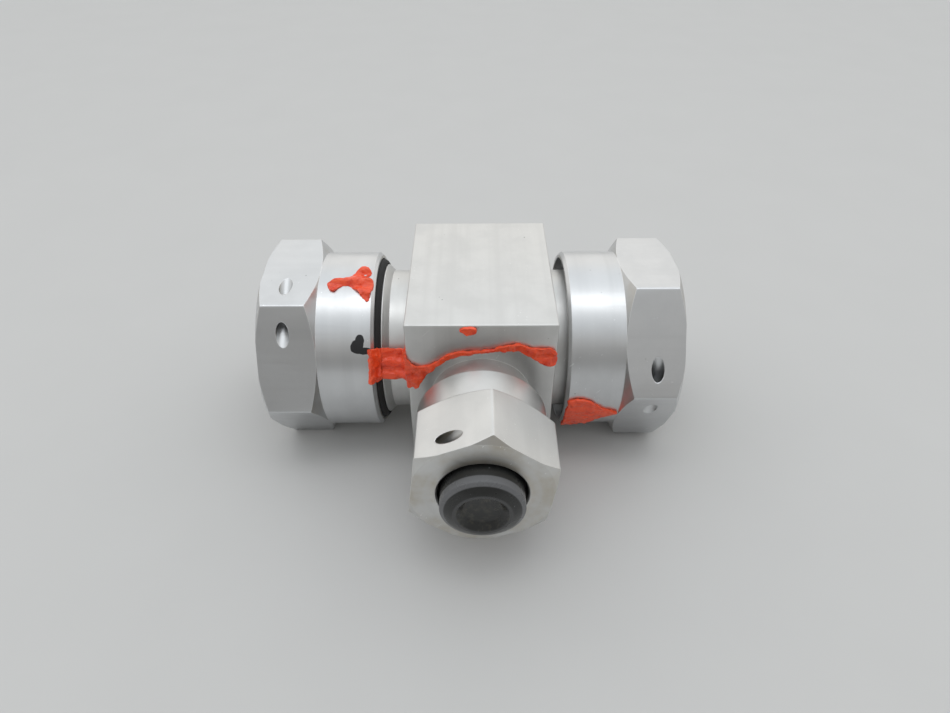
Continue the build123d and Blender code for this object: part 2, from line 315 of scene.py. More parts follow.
def start_piece():
    bpy.ops.object.select_all(action="DESELECT")


def only(piece):
    """Selects one piece and makes it active."""
    start_piece()
    piece.select_set(True)
    bpy.context.view_layer.objects.active = piece


def bake_place(piece):
    only(piece)
    bpy.ops.object.transform_apply(location=True, rotation=True, scale=True)


def lathe(name, profile, closed=False):
    """Revolves (station, radius) points about X by extruding and scaling a circle."""
    start_piece()
    station, radius = profile[0]
    bpy.ops.mesh.primitive_circle_add(
        vertices=ROUND_STEPS, radius=radius, fill_type="NOTHING",
        location=(station, 0, 0), rotation=(0, pi / 2, 0),
    )
    piece = bpy.context.object
    piece.name = name
    bake_place(piece)
    bpy.ops.object.mode_set(mode="EDIT")
    bpy.ops.mesh.select_all(action="SELECT")
    route = profile[1:] + profile[:1] if closed else profile[1:]
    for next_station, next_radius in route:
        step = next_station - station
        factor = next_radius / radius
        bpy.ops.mesh.extrude_region_move(TRANSFORM_OT_translate={"value": (step, 0, 0)})
        bpy.ops.transform.resize(value=(1, factor, factor), center_override=(0, 0, 0))
        station, radius = next_station, next_radius
    bpy.ops.mesh.select_all(action="SELECT")
    if closed:
        bpy.ops.mesh.remove_doubles(threshold=MM / 1000)
    else:
        bpy.ops.mesh.fill_holes(sides=0)
    bpy.ops.mesh.select_all(action="SELECT")
    bpy.ops.mesh.normals_make_consistent(inside=False)
    bpy.ops.object.mode_set(mode="OBJECT")
    return piece


def combine(piece, tool, operation):
    """Joins, cuts or intersects a piece with a tool, which is used up."""
    only(piece)
    bpy.ops.object.modifier_add(type="BOOLEAN")
    modifier = piece.modifiers[-1]
    modifier.operation = operation
    modifier.object = tool
    modifier.solver = "EXACT"
    bpy.ops.object.modifier_apply(modifier=modifier.name)
    only(tool)
    bpy.ops.object.delete()
    return piece


def soften(piece, width):
    """Rounds a lathed piece's corners."""
    only(piece)
    bpy.ops.object.modifier_add(type="BEVEL")
    modifier = piece.modifiers[-1]
    modifier.width = width
    modifier.segments = 2
    modifier.limit_method = "ANGLE"
    modifier.angle_limit = SMOOTH_ANGLE
    bpy.ops.object.modifier_apply(modifier=modifier.name)


def shade(piece):
    only(piece)
    bpy.ops.object.shade_smooth_by_angle(angle=SMOOTH_ANGLE)


def finish_piece(piece, material, body, node):
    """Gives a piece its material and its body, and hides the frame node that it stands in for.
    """
    shade(piece)
    piece.data.materials.clear()
    piece.data.materials.append(material)
    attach(piece, body)
    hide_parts(node)


def place(piece, side, turn=0.0):
    """Turns a finished shape about its port and then to its own side."""
    piece.matrix_world = SIDES[side] @ Matrix.Rotation(turn, 4, "X")
    bake_place(piece)


# Shapes of the pieces


def tube_end(port):
    """Neck, lip, ring groove and thread of one end, without its bore."""
    sizes = port.sizes
    floor = sizes.seal_radius - sizes.seal_section
    root = sizes.thread_radius - sizes.thread_depth
    profile = [
        (0, sizes.neck_radius), (port.lip_start, sizes.neck_radius),
        (port.lip_end, sizes.lip_radius), (port.groove_start, sizes.lip_radius),
        (port.groove_start, floor), (port.groove_end, floor),
    ]
    step = sizes.thread_pitch / 2
    station = port.groove_end + step / 2
    while station + step < port.male_end:
        profile.append((station, root))
        profile.append((station + step, sizes.thread_radius))
        station += 2 * step
    profile.append((port.male_end, root))
    return lathe("tube_end", profile)


def passage(port, through):
    """Cutter for a bore with its bevelled mouth, from the crossing or right through."""
    bore = port.sizes.bore_radius
    mouth = settings().shared.mouth_bevel
    profile = [
        (port.male_end - mouth, bore), (port.male_end, bore + mouth),
        (port.male_end + 2 * mouth, bore + 3 * mouth),
    ]
    start = [(-station, radius) for station, radius in reversed(profile)]
    return lathe("passage", (start if through else [(0, bore)]) + profile)


def block():
    """Bar between the ports, with broken edges."""
    start_piece()
    bpy.ops.mesh.primitive_cube_add(size=1)
    piece = bpy.context.object
    piece.scale = (
        2 * settings().run.face, 2 * settings().branch.face, settings().shared.block_height,
    )
    bake_place(piece)
    bpy.ops.object.mode_set(mode="EDIT")
    bpy.ops.mesh.select_all(action="SELECT")
    bpy.ops.mesh.bevel(offset=settings().shared.edge_break, segments=6)
    bpy.ops.object.mode_set(mode="OBJECT")
    return piece


def hexagon(port):
    """Hexagon bar longer than the nut, a corner up, long edges rounded."""
    start_piece()
    depth = 1.2 * port.sizes.nut_length
    middle = (port.skirt_end + port.nut_end) / 2
    bpy.ops.mesh.primitive_cylinder_add(
        vertices=6, radius=port.corner_radius, depth=depth,
        location=(middle, 0, 0), rotation=(0, pi / 2, 0),
    )
    bar = bpy.context.object
    bake_place(bar)
    bar.rotation_euler = (pi / 6, 0, 0)
    bake_place(bar)
    bpy.ops.object.mode_set(mode="EDIT")
    bpy.ops.mesh.select_mode(type="EDGE")
    bpy.ops.mesh.select_all(action="DESELECT")
    mesh = bmesh.from_edit_mesh(bar.data)
    for edge in mesh.edges:
        first, second = edge.verts
        edge.select = abs(first.co.x - second.co.x) > depth / 2
    bmesh.update_edit_mesh(bar.data)
    bpy.ops.mesh.bevel(offset=settings().shared.hex_break, segments=6)
    bpy.ops.mesh.select_mode(type="VERT")
    bpy.ops.object.mode_set(mode="OBJECT")
    return bar


def nut(port):
    """Hexagon with bevelled corners, skirt, hollow and wire holes."""
    shared = settings().shared
    sizes = port.sizes
    slope = tan(shared.corner_slope)
    start = port.skirt_end + sizes.skirt_length
    inner_rise = (port.corner_radius - sizes.skirt_radius) * slope
    outer_rise = (port.corner_radius - sizes.face_radius) * slope
    above = shared.hex_break
    piece = hexagon(port)
    combine(piece, lathe("corners", [
        (start - above * slope, sizes.skirt_radius - above),
        (start + inner_rise + above * slope, port.corner_radius + above),
        (port.nut_end - outer_rise - above * slope, port.corner_radius + above),
        (port.nut_end, sizes.face_radius),
    ]), "INTERSECT")
    combine(piece, lathe("skirt", [
        (port.skirt_end, sizes.skirt_radius - sizes.skirt_bevel),
        (port.skirt_end + sizes.skirt_bevel, sizes.skirt_radius),
        (start + inner_rise, sizes.skirt_radius),
    ]), "UNION")
    combine(piece, nut_hollow(port), "DIFFERENCE")
    for side in (-1, 1):
        combine(piece, wire_drill(port, side), "DIFFERENCE")
    return piece


def nut_hollow(port):
    """Cutter for the nut's counterbore, threaded bore and tube hole."""
    shared = settings().shared
    sizes = port.sizes
    wide = sizes.seal_radius + shared.skirt_clearance
    bore = sizes.thread_radius + shared.seat_gap
    step = sizes.thread_pitch / 2
    thread_start = port.groove_end + port.backed_off + shared.hole_bevel
    profile = [(port.skirt_end - sizes.skirt_bevel, wide), (thread_start, wide)]
    profile.append((thread_start, bore))
    station = thread_start + step
    while station + step < port.shoulder:
        profile.append((station, bore + sizes.thread_depth / 2))
        profile.append((station + step, bore))
        station += 2 * step
    profile += [
        (port.shoulder, bore), (port.shoulder, sizes.hole_radius),
        (port.nut_end - shared.hole_bevel, sizes.hole_radius),
        (port.nut_end, sizes.hole_radius + shared.hole_bevel),
        (port.nut_end + shared.hole_bevel, sizes.hole_radius + 2 * shared.hole_bevel),
    ]
    return lathe("hollow", profile)


def wire_drill(port, side):
    """Cutter for one locking-wire hole across a corner."""
    start_piece()
    station = port.nut_end - port.sizes.wire_inset
    height = port.corner_radius - port.sizes.wire_depth
    bpy.ops.mesh.primitive_cylinder_add(
        vertices=RING_STEPS, radius=settings().shared.wire_radius,
        depth=2 * port.corner_radius, location=(station, 0, side * height),
        rotation=(pi / 2, 0, 0),
    )
    drill = bpy.context.object
    bake_place(drill)
    return drill


def plug(port):
    """Blanking plug with its ring groove, flange, shank and dished nose."""
    shared = settings().shared
    sizes = port.sizes
    spigot = sizes.bore_radius - shared.bore_clearance
    flange = sizes.thread_radius - sizes.thread_depth - shared.flange_clearance
    shank = sizes.hole_radius - shared.shank_clearance
    seat = port.male_end + port.backed_off
    first = seat - sizes.spigot_length
    groove = ring_station(port) - sizes.plug_section / 2
    floor = sizes.bore_radius - sizes.plug_section
    flange_end = port.shoulder - shared.seat_gap
    break_start = port.nut_end + sizes.stand_out
    taper_start = break_start + shared.nose_break
    tip = taper_start + sizes.nose_taper
    rim = sizes.nose_radius - shared.rim_width
    dish = tip - sizes.dish_depth
    piece = lathe("plug", [
        (first, spigot - shared.mouth_bevel), (first + shared.mouth_bevel, spigot),
        (groove, spigot), (groove, floor), (groove + sizes.plug_section, floor),
        (groove + sizes.plug_section, spigot), (seat + shared.seat_gap, spigot),
        (seat + shared.seat_gap, flange), (flange_end, flange), (flange_end, shank),
        (break_start, shank), (taper_start, shank - shared.nose_break),
        (tip, sizes.nose_radius), (tip, rim), (dish, rim - sizes.dish_depth),
    ])
    soften(piece, shared.nose_break / 3)
    return piece


def ring_station(port):
    """Middle of the ring on a plug's spigot."""
    inset = settings().shared.mouth_bevel + port.sizes.plug_section
    return port.male_end + port.backed_off - port.sizes.spigot_length + inset


def round_ring(station, outer_radius, section):
    start_piece()
    bpy.ops.mesh.primitive_torus_add(
        major_segments=ROUND_STEPS, minor_segments=RING_STEPS,
        major_radius=outer_radius - section / 2, minor_radius=section / 2,
        location=(station, 0, 0), rotation=(0, pi / 2, 0),
    )
    ring = bpy.context.object
    bake_place(ring)
    return ring


def skirt_ring(port):
    middle = (port.groove_start + port.groove_end) / 2
    return round_ring(middle, port.sizes.seal_radius, port.sizes.seal_section)


def plug_ring(port):
    outer = port.sizes.bore_radius - settings().shared.ring_clearance
    return round_ring(ring_station(port), outer, port.sizes.plug_section)


def lacquer_film(node, port):
    """Lacquer with rounded, pulled and folded edges, grown from a copy of its node."""
    only(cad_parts[node])
    bpy.ops.object.duplicate()
    film = bpy.context.object
    film.parent = None
    for key in [key for key in film.keys() if key.startswith("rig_")]:
        del film[key]
    film.name = node.replace("_lacquer", "_film")
    bpy.ops.object.mode_set(mode="EDIT")
    bpy.ops.mesh.select_all(action="SELECT")
    bpy.ops.mesh.remove_doubles(threshold=MM / 1000)
    bpy.ops.object.mode_set(mode="OBJECT")
    for vertex in film.data.vertices:
        vertex.co = thickened(vertex.co, port)
    if node == "bridge_lacquer":
        fill_corner(film, port)
    bpy.ops.object.modifier_add(type="REMESH")
    film.modifiers[-1].mode = "VOXEL"
    film.modifiers[-1].voxel_size = FILM_VOXEL
    bpy.ops.object.modifier_apply(modifier=film.modifiers[-1].name)
    shape, limit = (hung, kept_over) if node == "bridge_end_lacquer" else (pulled, kept_under)
    for vertex in film.data.vertices:
        vertex.co = shape(vertex.co, port)
    smooth(film, times=5)
    ripple(film, "NORMAL", *SWELLING)
    ripple(film, "RGB_TO_XYZ", *PULLING)
    smooth(film, times=4)
    for vertex in film.data.vertices:
        vertex.co = limit(vertex.co, port)
    return film


def fill_corner(film, port):
    """Joins a lump that carries the bridge round the block's front left corner."""
    bottom, top = LUMP_HEIGHTS
    side_lap, front_lap = LUMP_LAP
    start_piece()
    bpy.ops.mesh.primitive_cube_add(size=1)
    lump = bpy.context.object
    lump.scale = (*LUMP_SECTION, top - bottom)
    lump.location = (
        -port.face + side_lap, -port.block_front - front_lap, (bottom + top) / 2,
    )
    bake_place(lump)
    bpy.ops.object.mode_set(mode="EDIT")
    bpy.ops.mesh.select_all(action="SELECT")
    bpy.ops.mesh.bevel(offset=LUMP_ROUNDING, segments=3)
    bpy.ops.object.mode_set(mode="OBJECT")
    combine(film, lump, "UNION")
    only(film)


def smooth(piece, times):
    bpy.ops.object.modifier_add(type="SMOOTH")
    piece.modifiers[-1].iterations = times
    bpy.ops.object.modifier_apply(modifier=piece.modifiers[-1].name)


def ripple(piece, direction, size, strength, level):
    """Uneven swelling, or pulling to the sides, by a cloud pattern."""
    clouds = bpy.data.textures.new(piece.name + direction, "CLOUDS")
    clouds.noise_scale = size
    clouds.cloud_type = "COLOR"
    bpy.ops.object.modifier_add(type="DISPLACE")
    modifier = piece.modifiers[-1]
    modifier.texture = clouds
    modifier.direction = direction
    modifier.strength = strength
    modifier.mid_level = level
    bpy.ops.object.modifier_apply(modifier=modifier.name)


def run_radius(point):
    """How far a point is from the run's axis."""
    return Vector((point.y, point.z)).length


def turned_to(point, radius):
    """The point moved in or out to a radius from the run's axis."""
    factor = radius / run_radius(point)
    return Vector((point.x, point.y * factor, point.z * factor))


def thickened(point, port):
    """Lacquer twice as thick on the block's front and on the skirts."""
    front = -port.block_front
    skirt = port.skirt_radius
    radius = run_radius(point)
    spanning = abs(point.x) < port.skirt_end
    if point.y < front and abs(point.x) < port.face:
        return Vector((point.x, 2 * point.y - front, point.z))
    if radius > skirt and not spanning:
        return turned_to(point, 2 * radius - skirt)
    return point


def pulled(point, port):
    """Folds over the neck, and a hollow in the torn right end."""
    front = -port.block_front
    if point.x < -port.face - FOLD_START:
        angle = atan2(-point.y, point.z)
        fold = FOLD_HEIGHT * (cos((angle - FOLD_FIRST) * FOLDS_PER_RADIAN) - 0.5)
        return turned_to(point, run_radius(point) + fold)
    if point.y < front:
        hollow = Vector(((point.x - HOLLOW[0]) / HOLLOW[2], (point.z - HOLLOW[1]) / HOLLOW[3]))
        depth = max(0.0, 1.0 - hollow.length ** 2) * HOLLOW_DEPTH
        return Vector((point.x, point.y + (front - point.y) * depth, point.z))
    return point


def hung(point, port):
    """The nut's film thins and droops to the neck's film, where it hangs over the ring."""
    beyond = point.x + port.skirt_end
    if beyond < 0:
        return point
    share = min(1.0, beyond / (port.skirt_end - port.groove_start))
    low = port.seal_radius + OVERLAP_GAP
    radius = run_radius(point)
    drooped = turned_to(point, low + (radius - low) * (1 - DROOP * share))
    drooped.x = point.x + OVERLAP * share
    return drooped


def kept_under(point, port):
    """Keeps the neck's film low enough for the nut to pass over it."""
    seated = port.skirt_end - port.backed_off - OVERLAP
    radius = run_radius(point)
    if -port.groove_start - OVERLAP < point.x < -seated and radius > port.seal_radius:
        return turned_to(point, port.seal_radius)
    return point


def kept_over(point, port):
    """Keeps the nut's film over the neck's film, and clear of the block when seated."""
    low = port.seal_radius + OVERLAP_GAP
    radius = run_radius(point)
    if point.x > -port.skirt_end and radius < low:
        point = turned_to(point, low)
    return Vector((min(point.x, OVERLAP - port.groove_start), point.y, point.z))


# Materials


def add_node(tree, kind, **values):
    node = tree.nodes.new(kind)
    for key, value in values.items():
        setattr(node, key, value)
    return node


def math_node(tree, operation, first, second=0.0, clamp=False):
    """A Math node. Its inputs are numbers or sockets, and its output is returned."""
    node = add_node(tree, "ShaderNodeMath", operation=operation, use_clamp=clamp)
    for socket, value in zip(node.inputs, (first, second)):
        if isinstance(value, (int, float)):
            socket.default_value = value
        else:
            tree.links.new(value, socket)
    return node.outputs[0]


def stretched(tree, vector, factors):
    """Coordinates multiplied by three numbers."""
    node = add_node(tree, "ShaderNodeVectorMath", operation="MULTIPLY")
    tree.links.new(vector, node.inputs[0])
    node.inputs[1].default_value = factors
    return node.outputs[0]


def noise(tree, vector, scale, detail=2.0, roughness=0.5):
    node = add_node(tree, "ShaderNodeTexNoise")
    tree.links.new(vector, node.inputs["Vector"])
    node.inputs["Scale"].default_value = scale
    node.inputs["Detail"].default_value = detail
    node.inputs["Roughness"].default_value = roughness
    return node.outputs["Fac"]


def stepped(tree, value, low, high, out_low=0.0, out_high=1.0):
    """A smooth step from one value to another."""
    node = add_node(tree, "ShaderNodeMapRange", interpolation_type="SMOOTHSTEP")
    tree.links.new(value, node.inputs["Value"])
    for name, number in (
        ("From Min", low), ("From Max", high), ("To Min", out_low), ("To Max", out_high),
    ):
        node.inputs[name].default_value = number
    return node.outputs["Result"]


def mixed(tree, factor, first, second):
    """Mixes two colours. Each is a colour or a socket."""
    node = add_node(tree, "ShaderNodeMix", data_type="RGBA")
    tree.links.new(factor, node.inputs["Factor"])
    for socket, value in ((node.inputs[6], first), (node.inputs[7], second)):
        if isinstance(value, (tuple, list)):
            socket.default_value = (*value, 1.0)
        else:
            tree.links.new(value, socket)
    return node.outputs[2]


def blended(tree, factor, first, second):
    """Mixes two values that vary over the surface."""
    node = add_node(tree, "ShaderNodeMix", data_type="FLOAT")
    for socket, value in zip(node.inputs[0:1] + node.inputs[2:4], (factor, first, second)):
        tree.links.new(value, socket)
    return node.outputs[0]


def new_group(name, inputs, outputs):
    """An empty shader group with float or vector inputs and outputs."""
    group = bpy.data.node_groups.new(name, "ShaderNodeTree")
    for label, kind, default in inputs:
        socket = group.interface.new_socket(label, in_out="INPUT", socket_type=kind)
        if default is not None:
            socket.default_value = default
    for label, kind in outputs:
        group.interface.new_socket(label, in_out="OUTPUT", socket_type=kind)
    return group, group.nodes.new("NodeGroupInput"), group.nodes.new("NodeGroupOutput")


def rounded_edge_highlight_group():
    """Rounds edges in the shading and finds them, for a painted highlight along the edges."""
    group, source, result = new_group(
        "worn_edge", [("Radius", "NodeSocketFloat", 0.2 * MM)],
        [("Edge", "NodeSocketFloat"), ("Normal", "NodeSocketVector")],
    )
    bevel = add_node(group, "ShaderNodeBevel", samples=6)
    group.links.new(source.outputs["Radius"], bevel.inputs["Radius"])
    geometry = add_node(group, "ShaderNodeNewGeometry")
    dot = add_node(group, "ShaderNodeVectorMath", operation="DOT_PRODUCT")
    group.links.new(bevel.outputs["Normal"], dot.inputs[0])
    group.links.new(geometry.outputs["Normal"], dot.inputs[1])
    turned_away = math_node(group, "SUBTRACT", 1.0, dot.outputs["Value"])
    group.links.new(stepped(group, turned_away, 0.01, 0.12), result.inputs["Edge"])
    group.links.new(bevel.outputs["Normal"], result.inputs["Normal"])
    return group


def cutter_lines_group():
    """Fine lines that a cutter leaves, drawn out along two of the three axes."""
    group, source, result = new_group(
        "cutter_lines",
        [("Vector", "NodeSocketVector", None), ("Stretch", "NodeSocketVector", None)],
        [("Lines", "NodeSocketFloat"), ("Bands", "NodeSocketFloat")],
    )
    scaled = add_node(group, "ShaderNodeVectorMath", operation="MULTIPLY")
    group.links.new(source.outputs["Vector"], scaled.inputs[0])
    group.links.new(source.outputs["Stretch"], scaled.inputs[1])
    lines = noise(group, scaled.outputs[0], 1.0, 3.0, 0.7)
    bands = noise(group, scaled.outputs[0], 0.12, 2.0)
    group.links.new(lines, result.inputs["Lines"])
    group.links.new(bands, result.inputs["Bands"])
    return group


def handling_group():
    """Scratches, dents and a faint uneven film of handling."""
    group, source, result = new_group(
        "handling", [("Vector", "NodeSocketVector", None)],
        [("Scratches", "NodeSocketFloat"), ("Pits", "NodeSocketFloat"),
         ("Film", "NodeSocketFloat")],
    )
    vector = source.outputs["Vector"]
    first = add_node(group, "ShaderNodeMapping")
    first.inputs["Rotation"].default_value = (0.4, 0.9, 0.7)
    group.links.new(vector, first.inputs["Vector"])
    second = add_node(group, "ShaderNodeMapping")
    second.inputs["Rotation"].default_value = (1.3, 0.2, -0.8)
    group.links.new(vector, second.inputs["Vector"])
    one = noise(group, stretched(group, first.outputs[0], (90, 2600, 2600)), 1.0, 1.0)
    two = noise(group, stretched(group, second.outputs[0], (2300, 70, 2300)), 1.0, 1.0)
    lines = math_node(group, "MAXIMUM", stepped(group, one, 0.74, 0.80),
                      stepped(group, two, 0.75, 0.81))
    few = stepped(group, noise(group, vector, 70, 1.0), 0.48, 0.6)
    cells = add_node(group, "ShaderNodeTexVoronoi")
    cells.inputs["Scale"].default_value = 620
    group.links.new(vector, cells.inputs["Vector"])
    near = stepped(group, cells.outputs["Distance"], 0.12, 0.05)
    chance = noise(group, vector, 200, 1.0)
    pits = math_node(group, "MULTIPLY", near, stepped(group, chance, 0.64, 0.7))
    group.links.new(math_node(group, "MULTIPLY", lines, few), result.inputs["Scratches"])
    group.links.new(pits, result.inputs["Pits"])
    group.links.new(noise(group, vector, 110, 4.0, 0.6), result.inputs["Film"])
    return group


def group_node(tree, build, name):
    """Places a shared group, which is built the first time."""
    group = bpy.data.node_groups.get(name) or build()
    return add_node(tree, "ShaderNodeGroup", node_tree=group)


def new_material(name):
    material = bpy.data.materials.new(name)
    material.use_nodes = True
    tree = material.node_tree
    shader = tree.nodes["Principled BSDF"]
    coordinates = add_node(tree, "ShaderNodeTexCoord").outputs["Object"]
    return material, tree, shader, coordinates


def bump(tree, height, strength, distance, normal=None):
    node = add_node(tree, "ShaderNodeBump")
    node.inputs["Strength"].default_value = strength
    node.inputs["Distance"].default_value = distance
    tree.links.new(height, node.inputs["Height"])
    if normal is not None:
        tree.links.new(normal, node.inputs["Normal"])
    return node.outputs["Normal"]


def cut_marks(tree, vector, stretch):
    """Places the cutter's lines, close together along the axes with large factors."""
    node = group_node(tree, cutter_lines_group, "cutter_lines")
    tree.links.new(vector, node.inputs["Vector"])
    node.inputs["Stretch"].default_value = stretch
    return node.outputs["Lines"], node.outputs["Bands"]


def around(tree, coordinates, axis):
    """Station along an axis, distance from it, and that distance as coordinates."""
    across = [1.0, 1.0, 1.0]
    across[axis] = 0.0
    parts = add_node(tree, "ShaderNodeSeparateXYZ")
    tree.links.new(coordinates, parts.inputs[0])
    station = math_node(tree, "ABSOLUTE", parts.outputs[axis])
    radius = add_node(tree, "ShaderNodeVectorMath", operation="LENGTH")
    tree.links.new(stretched(tree, coordinates, across), radius.inputs[0])
    outward = add_node(tree, "ShaderNodeCombineXYZ")
    tree.links.new(radius.outputs["Value"], outward.inputs[0])
    return station, radius.outputs["Value"], outward.outputs[0]


def nut_marks(tree, coordinates, axis, hex_start):
    """Marks of a nut: round on its skirt, along its flats and in rings on its ends.

    Also returns where its end faces are.
    """
    along = [0.0, 0.0, 0.0]
    along[axis] = 1.0
    station, _, outward = around(tree, coordinates, axis)
    geometry = add_node(tree, "ShaderNodeNewGeometry")
    facing = add_node(tree, "ShaderNodeVectorMath", operation="DOT_PRODUCT")
    tree.links.new(geometry.outputs["Normal"], facing.inputs[0])
    facing.inputs[1].default_value = along
    on_end = stepped(tree, math_node(tree, "ABSOLUTE", facing.outputs["Value"]), 0.8, 0.9)
    on_flats = stepped(tree, station, hex_start, hex_start + 0.1 * MM)
    turned = cut_marks(tree, coordinates, [ROUND_GRAIN if a else LONG_GRAIN for a in along])
    drawn = cut_marks(tree, coordinates, [LONG_GRAIN if a else FLAT_GRAIN for a in along])
    rings = cut_marks(tree, outward, (RING_GRAIN, 0.0, 0.0))
    marks = []
    for round_mark, flat_mark, ring_mark in zip(turned, drawn, rings):
        mark = blended(tree, on_flats, round_mark, flat_mark)
        marks.append(blended(tree, on_end, mark, ring_mark))
    return (*marks, on_end)


def aluminium(name, roughness, axis=None, hex_start=0.0, tint=(1.0, 1.0, 1.0), ink=()):
    """Satin aluminium with cutter lines, a few scratches and pits, and a painted highlight
    along its edges.
    """
    base = tuple(value * part for value, part in zip(settings().colours.aluminium, tint))
    material, tree, shader, coordinates = new_material(name)
    edge = group_node(tree, rounded_edge_highlight_group, "worn_edge")
    handling = group_node(tree, handling_group, "handling")
    tree.links.new(coordinates, handling.inputs["Vector"])
    dull = tuple(0.93 * value for value in base)
    warm = (0.80 * base[0], 0.74 * base[1], 0.64 * base[2])
    pale_scratch_and_edge_highlight = tuple(min(1.0, 1.25 * value) for value in base)
    dark = tuple(0.4 * value for value in base)
    film = stepped(tree, handling.outputs["Film"], 0.35, 0.7)
    shown = mixed(tree, film, base, dull)
    if axis is None:
        lines, bands = cut_marks(tree, coordinates, (ROUND_GRAIN, LONG_GRAIN, LONG_GRAIN))
    else:
        lines, bands, on_end = nut_marks(tree, coordinates, axis, hex_start)
        stain = math_node(tree, "MULTIPLY", on_end, film)
        shown = mixed(tree, stain, shown, warm)
    shown = mixed(tree, stepped(tree, bands, 0.4, 0.75), shown, dull)
    shown = mixed(tree, handling.outputs["Pits"], shown, dark)
    shown = mixed(tree, handling.outputs["Scratches"], shown, pale_scratch_and_edge_highlight)
    # Painted highlight: the found edges made paler in the colour
    shown = mixed(tree, edge.outputs["Edge"], shown, pale_scratch_and_edge_highlight)
    rough = math_node(tree, "MULTIPLY_ADD", lines, 0.12)
    rough.node.inputs[2].default_value = roughness - 0.06
    rough = math_node(tree, "ADD", rough, math_node(tree, "MULTIPLY", film, 0.07))
    height = math_node(tree, "SUBTRACT", lines, handling.outputs["Pits"])
    scored = math_node(tree, "MULTIPLY", handling.outputs["Scratches"], 0.5)
    height = math_node(tree, "SUBTRACT", height, scored)
    normal = bump(tree, height, 0.28, 0.01 * MM, edge.outputs["Normal"])
    shader.inputs["Metallic"].default_value = 1.0
    if ink:
        mask = ink_mask(tree, coordinates, ink)
        shown = mixed(tree, mask, shown, tuple(settings().colours.ink))
        metal = math_node(tree, "SUBTRACT", 1.0, mask)
        tree.links.new(metal, shader.inputs["Metallic"])
    tree.links.new(shown, shader.inputs["Base Color"])
    tree.links.new(rough, shader.inputs["Roughness"])
    tree.links.new(normal, shader.inputs["Normal"])
    return material


def ink_mask(tree, coordinates, blots):
    """Marker laid in overlapping blots, each a centre and a reach along and across."""
    nearest = None
    for centre, (along, across) in blots:
        offset = add_node(tree, "ShaderNodeVectorMath", operation="SUBTRACT")
        tree.links.new(coordinates, offset.inputs[0])
        offset.inputs[1].default_value = centre
        sized = stretched(tree, offset.outputs[0], (1 / along, 1 / across, 1 / across))
        distance = add_node(tree, "ShaderNodeVectorMath", operation="LENGTH")
        tree.links.new(sized, distance.inputs[0])
        value = distance.outputs["Value"]
        nearest = value if nearest is None else math_node(tree, "MINIMUM", nearest, value)
    uneven = math_node(tree, "MULTIPLY", noise(tree, coordinates, 800, 2.0), 0.4)
    return stepped(tree, math_node(tree, "ADD", nearest, uneven), 1.24, 1.16)


def rubber():
    found = bpy.data.materials.get("seal_rubber")
    if found:
        return found
    material, tree, shader, coordinates = new_material("seal_rubber")
    base = tuple(settings().colours.rubber)
    greasy = noise(tree, coordinates, 300, 3.0)
    tree.links.new(mixed(tree, greasy, base, tuple(2.2 * value for value in base)),
                   shader.inputs["Base Color"])
    tree.links.new(stepped(tree, greasy, 0.3, 0.7, 0.22, 0.42), shader.inputs["Roughness"])
    tree.links.new(bump(tree, greasy, 0.2, 0.02 * MM), shader.inputs["Normal"])
    return material


def dark_plastic(name, axis, rim_radius, band_start):
    """Turned dark plastic with a painted highlight band round its end, a painted highlight on
    its rim, paler scratches, and dust in its dish.
    """
    material, tree, shader, coordinates = new_material(name)
    base = tuple(settings().colours.plastic)
    handling = group_node(tree, handling_group, "handling")
    tree.links.new(coordinates, handling.inputs["Vector"])
    station, radius, outward = around(tree, coordinates, axis)
    lines = cut_marks(tree, outward, (RING_GRAIN, 0.0, 0.0))[0]
    grime = stepped(tree, noise(tree, coordinates, 900, 4.0, 0.65), 0.45, 0.7)
    rim_distance = math_node(tree, "SUBTRACT", radius, rim_radius)
    rim = stepped(tree, math_node(tree, "ABSOLUTE", rim_distance), 0.45 * MM, 0.2 * MM)
    band = stepped(tree, station, band_start, band_start + 0.3 * MM)
    shank = stepped(tree, radius, 1.35 * rim_radius, 1.4 * rim_radius)
    painted_band_highlight = math_node(tree, "MULTIPLY", band, shank)
    dish = stepped(tree, radius, rim_radius, rim_radius - 0.3 * MM)
    shown = mixed(tree, math_node(tree, "MULTIPLY", grime, dish), base,
                  (3.2 * base[0], 2.9 * base[1], 2.3 * base[2]))
    painted_rim_highlight = math_node(tree, "MULTIPLY", math_node(tree, "MULTIPLY", rim, lines), 0.6)
    # Painted highlight: the rim's arc made paler in the colour
    shown = mixed(tree, painted_rim_highlight, shown, PALE_SCRATCH_AND_HIGHLIGHT)
    # Painted highlight band: a paler ring round the plug's end stands in for a reflection of
    # the sky
    shown = mixed(tree, painted_band_highlight, shown, PALE_SCRATCH_AND_HIGHLIGHT)
    shown = mixed(tree, handling.outputs["Scratches"], shown, PALE_SCRATCH_AND_HIGHLIGHT)
    tree.links.new(shown, shader.inputs["Base Color"])
    tree.links.new(stepped(tree, handling.outputs["Film"], 0.3, 0.7, 0.22, 0.36),
                   shader.inputs["Roughness"])
    tree.links.new(bump(tree, lines, 0.3, 0.012 * MM), shader.inputs["Normal"])
    return material


